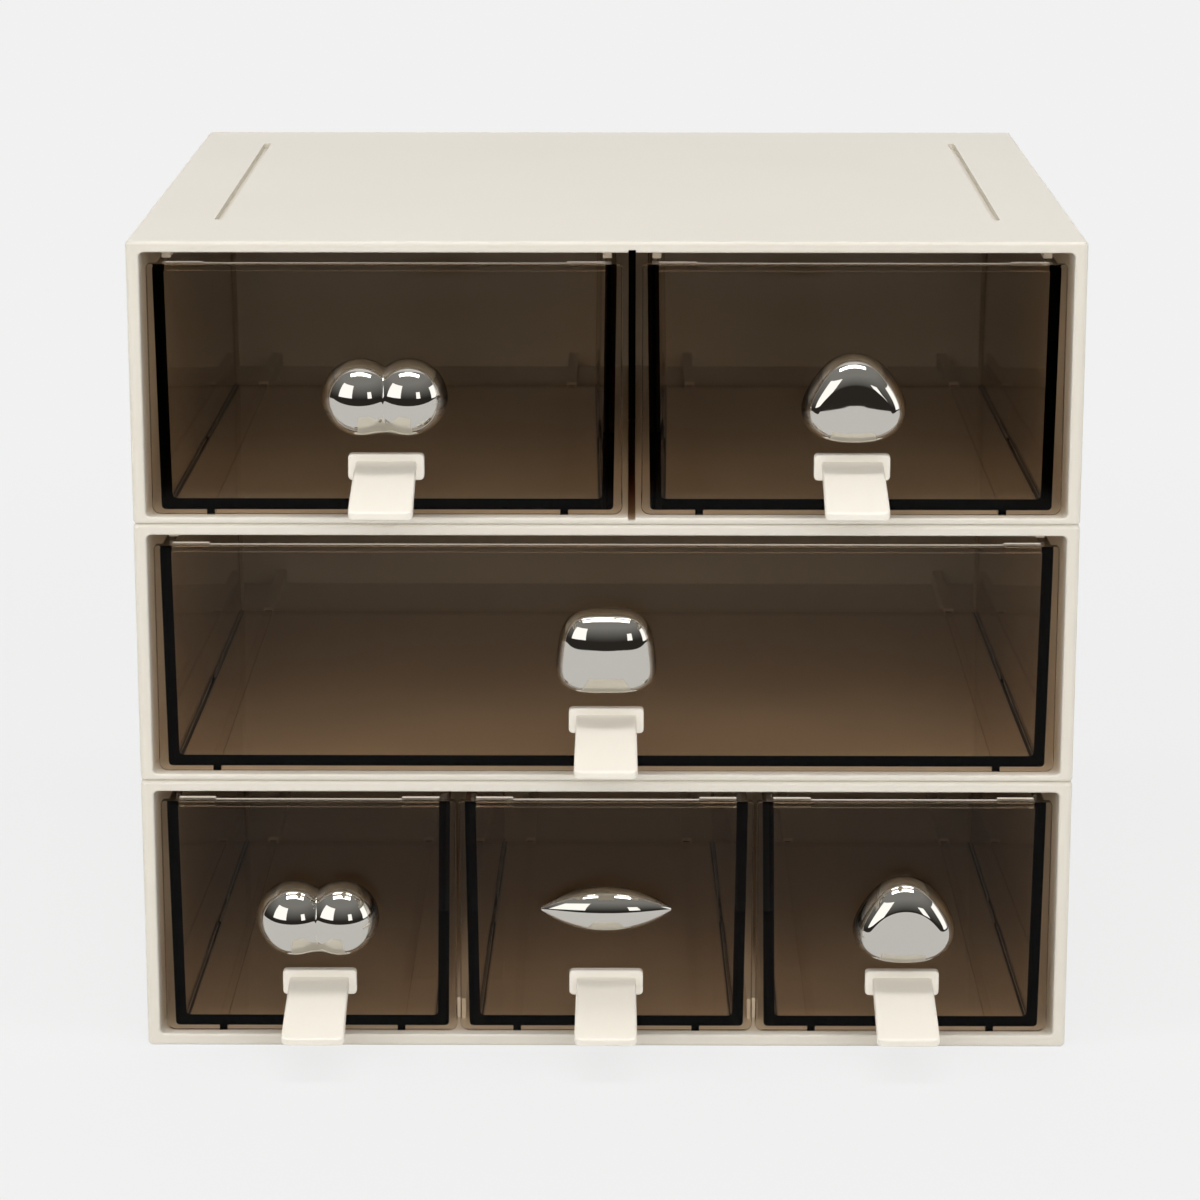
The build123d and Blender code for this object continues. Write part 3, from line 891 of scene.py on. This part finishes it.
@dataclass
class Studio:
    """The stage: a pale floor, a dim room for the mirrors, soft lamps, the photograph's camera."""

    pale: str = "#F1F1F1"
    room_dark: str = "#35322F"
    room_light: str = "#999896"
    room_dark_below_m: float = 0.6
    room_light_above_m: float = 3.8
    room_radius_m: float = 5.0
    room_half_turn: float = 105.0
    room_top: float = 81.0
    # the dim room's floor lies just above the pale one and ends at the table's edge
    room_floor_m: float = 0.003
    table_edge_m: float = -0.78
    window_level: float = 1.8
    # the windows stand just inside the room's wall, at this share of its radius
    window_radius_share: float = 0.98
    arc_columns: int = 49
    arc_rows: int = 25
    fill_level: float = 0.3
    floor_half_m: float = 6.0
    floor_keep_near: float = 0.86
    floor_keep_from_m: float = 0.2
    floor_keep_reach_m: float = 0.75
    aim_m: tuple[float, float, float] = (0.0, 0.0, 0.12)
    focal_px: float = 3854.8
    camera_m: tuple[float, float, float] = (0.00453, -1.1236, 0.3987)
    camera_pitch: float = 13.712
    camera_yaw: float = 0.349
    axis_above_centre_px: float = 60.0
    sensor: float = 36.0

    def seen_directly(self, tree: bpy.types.NodeTree) -> bpy.types.NodeSocket:
        """Adds a value that is 1 for camera, glossy and transmitted rays, 0 for rays that light.

        Args:
            tree: node tree that gets the nodes.

        Returns:
            The socket that gives the value.
        """
        path = add_node(tree, "ShaderNodeLightPath")
        some = add_node(tree, "ShaderNodeMath", {"operation": "ADD", "use_clamp": True}, {
            0: path.outputs["Is Camera Ray"], 1: path.outputs["Is Glossy Ray"]})
        every = add_node(tree, "ShaderNodeMath", {"operation": "ADD", "use_clamp": True}, {
            0: some.outputs[0], 1: path.outputs["Is Transmission Ray"]})
        return every.outputs[0]

    def light_world(self) -> None:
        """Makes the world a grey fill that is seen as the pale background."""
        world = bpy.data.worlds.new("studio_fill")
        world.use_nodes = True
        tree = world.node_tree
        tree.nodes.clear()
        seen = self.seen_directly(tree)
        fill = add_node(tree, "ShaderNodeBackground", {
            "Color": WHITE, "Strength": self.fill_level})
        pale = add_node(tree, "ShaderNodeBackground", {
            "Color": linear(self.pale), "Strength": 1.0})
        mix = add_node(tree, "ShaderNodeMixShader", None, {
            0: seen, 1: fill.outputs[0], 2: pale.outputs[0]})
        add_node(tree, "ShaderNodeOutputWorld", None, {"Surface": mix.outputs[0]})
        bpy.context.scene.world = world

    def card(
        self, name: str, grid: np.ndarray, material: bpy.types.Material, seen_by: SeenBy
    ) -> None:
        """Adds a stage card.

        Args:
            name: the card's name.
            grid: its points in metres, of shape (rows, columns, 3).
            material: its material.
            seen_by: which rays see it.
        """
        here = np.arange(grid.shape[0] * grid.shape[1]).reshape(grid.shape[:2])
        faces = np.stack([here[:-1, :-1], here[:-1, 1:], here[1:, 1:], here[1:, :-1]], axis=-1)
        mesh = bpy.data.meshes.new(name)
        mesh.from_pydata(grid.reshape(-1, 3).tolist(), [], faces.reshape(-1, 4).tolist())
        mesh.materials.append(material)
        card = bpy.data.objects.new(name, mesh)
        bpy.context.scene.collection.objects.link(card)
        if seen_by is SeenBy.REFLECTIONS:
            card.visible_camera = False
            card.visible_diffuse = False
            card.visible_transmission = False
            card.visible_shadow = False

    def floor_material(self) -> bpy.types.Material:
        """Makes pale paper that keeps the shadow near the object and fades to the background.

        Returns:
            The floor's material.
        """
        material = empty_material("pale_studio_paper")
        tree = material.node_tree
        place = add_node(tree, "ShaderNodeTexCoord").outputs["Object"]
        away = add_node(tree, "ShaderNodeVectorMath", {"operation": "LENGTH"}, {0: place})
        keep = add_node(tree, "ShaderNodeMapRange", {
            "From Min": self.floor_keep_from_m, "From Max": self.floor_keep_reach_m,
            "To Min": self.floor_keep_near, "To Max": 1.0}, {"Value": away.outputs["Value"]})
        share = add_node(tree, "ShaderNodeMath", {"operation": "MULTIPLY"}, {
            0: self.seen_directly(tree), 1: keep.outputs["Result"]})
        paper = add_node(tree, "ShaderNodeBsdfDiffuse", {"Color": linear(self.pale)})
        plain = add_node(tree, "ShaderNodeEmission", {"Color": linear(self.pale), "Strength": 1.0})
        mix = add_node(tree, "ShaderNodeMixShader", None, {
            0: share.outputs[0], 1: paper.outputs[0], 2: plain.outputs[0]})
        add_node(tree, "ShaderNodeOutputMaterial", None, {"Surface": mix.outputs[0]})
        return material

    def room_material(self) -> bpy.types.Material:
        """Makes the dim room that the chrome mirrors: dark low down and grey towards the ceiling.

        Returns:
            The room's material.
        """
        material = empty_material("dim_room_cloth")
        tree = material.node_tree
        place = add_node(tree, "ShaderNodeTexCoord").outputs["Object"]
        height = add_node(tree, "ShaderNodeSeparateXYZ", None, {0: place})
        share = add_node(tree, "ShaderNodeMapRange", {
            "From Min": self.room_dark_below_m, "From Max": self.room_light_above_m},
            {"Value": height.outputs["Z"]})
        colour = add_node(tree, "ShaderNodeMix", {
            "data_type": "RGBA", MIX_FIRST: linear(self.room_dark),
            MIX_SECOND: linear(self.room_light)}, {MIX_SHARE: share.outputs["Result"]})
        cloth = add_node(tree, "ShaderNodeEmission", {"Strength": 1.0}, {
            "Color": colour.outputs[MIX_RESULT]})
        add_node(tree, "ShaderNodeOutputMaterial", None, {"Surface": cloth.outputs[0]})
        return material

    def window_material(self) -> bpy.types.Material:
        """Makes the bright pane of the windows.

        Returns:
            The windows' material.
        """
        material = empty_material("bright_window_pane")
        tree = material.node_tree
        pane = add_node(tree, "ShaderNodeEmission", {
            "Color": WHITE, "Strength": self.window_level})
        add_node(tree, "ShaderNodeOutputMaterial", None, {"Surface": pane.outputs[0]})
        return material

    def flat_grid(
        self, x_m: tuple[float, float], y_m: tuple[float, float], z_m: float
    ) -> np.ndarray:
        """Gives the four corners of a level rectangle as a grid of points."""
        x, y = np.meshgrid(x_m, y_m)
        return np.stack([x, y, np.full(x.shape, z_m)], axis=-1)

    def round_grid(
        self, bearings: tuple[float, float], rises: tuple[float, float], radius_m: float
    ) -> np.ndarray:
        """Works out a part of a sphere about the object.

        A point at the bearing a from straight ahead, to the right, and the height angle e is
        r (sin a cos e, -cos a cos e, sin e).

        Args:
            bearings: first and last bearing, in degrees.
            rises: lowest and highest height angle, in degrees.
            radius_m: the sphere's radius.

        Returns:
            Points of shape (rows, columns, 3), in metres.
        """
        bearing, rise = np.meshgrid(np.radians(np.linspace(*bearings, self.arc_columns)),
                                    np.radians(np.linspace(*rises, self.arc_rows)))
        ahead = np.cos(rise)
        directions = [np.sin(bearing) * ahead, -np.cos(bearing) * ahead, np.sin(rise)]
        return radius_m * np.stack(directions, axis=-1)

    def lay_floor(self) -> None:
        """Lays the floor, and sets up the dim room that the chrome and the smoked fronts mirror."""
        half, room, turn = self.floor_half_m, self.room_radius_m, self.room_half_turn
        floor = self.flat_grid((-half, half), (-half, half), 0.0)
        self.card("studio_floor", floor, self.floor_material(), SeenBy.ALL)
        cloth = self.room_material()
        dim = self.flat_grid((-room, room), (-room, self.table_edge_m), self.room_floor_m)
        self.card("dim_room_floor", dim, cloth, SeenBy.REFLECTIONS)
        wall = self.round_grid((-turn, turn), (0.0, self.room_top), room)
        self.card("dim_room_wall", wall, cloth, SeenBy.REFLECTIONS)

    def light_windows(self) -> None:
        """Sets bright windows into the dim room, which only the mirrors see."""
        material = self.window_material()
        radius = self.room_radius_m * self.window_radius_share
        for window in WINDOWS:
            pane = self.round_grid(window.bearings, window.rises, radius)
            self.card(window.name, pane, material, SeenBy.REFLECTIONS)

    def hang_lamps(self) -> None:
        """Hangs the softboxes, each aimed at the middle of the object."""
        for softbox in SOFTBOXES:
            data = bpy.data.lights.new(softbox.name, "AREA")
            data.shape = "RECTANGLE"
            data.size, data.size_y = softbox.size_m
            data.energy = softbox.watts
            lamp = bpy.data.objects.new(softbox.name, data)
            bpy.context.scene.collection.objects.link(lamp)
            lamp.visible_camera = False
            lamp.visible_glossy = softbox.seen_by is SeenBy.ALL
            lamp.visible_transmission = softbox.seen_by is SeenBy.ALL
            lamp.location = softbox.place_m
            aim = Vector(self.aim_m) - lamp.location
            lamp.rotation_euler = aim.to_track_quat("-Z", "Y").to_euler()

    def set_camera(self) -> None:
        """Sets the camera at the photograph's place, angle and framing."""
        data = bpy.data.cameras.new("photo_camera")
        data.sensor_width = self.sensor
        data.lens = self.sensor * self.focal_px / PHOTO_SIDE_PX
        data.shift_y = -self.axis_above_centre_px / PHOTO_SIDE_PX
        camera = bpy.data.objects.new("photo_camera", data)
        bpy.context.scene.collection.objects.link(camera)
        camera.location = self.camera_m
        tilt, yaw = math.radians(90 - self.camera_pitch), math.radians(self.camera_yaw)
        camera.rotation_euler = (tilt, 0.0, yaw)
        bpy.context.scene.camera = camera

    def set_up(self) -> None:
        """Sets up the camera, the floor, the room and the light."""
        bpy.context.scene.view_settings.view_transform = "Standard"
        self.set_camera()
        self.light_world()
        self.lay_floor()
        self.light_windows()
        self.hang_lamps()
        LOG.info("set up the studio")


def main() -> None:
    """Loads the frame, dresses the organizer and sets up the studio."""
    logging.basicConfig(level=logging.INFO, format="%(message)s")
    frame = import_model()
    organizer = Organizer(frame["nodes"])
    organizer.dress_mouldings()
    organizer.build_fronts()
    Studio().set_up()


if __name__ == "__main__":
    main()
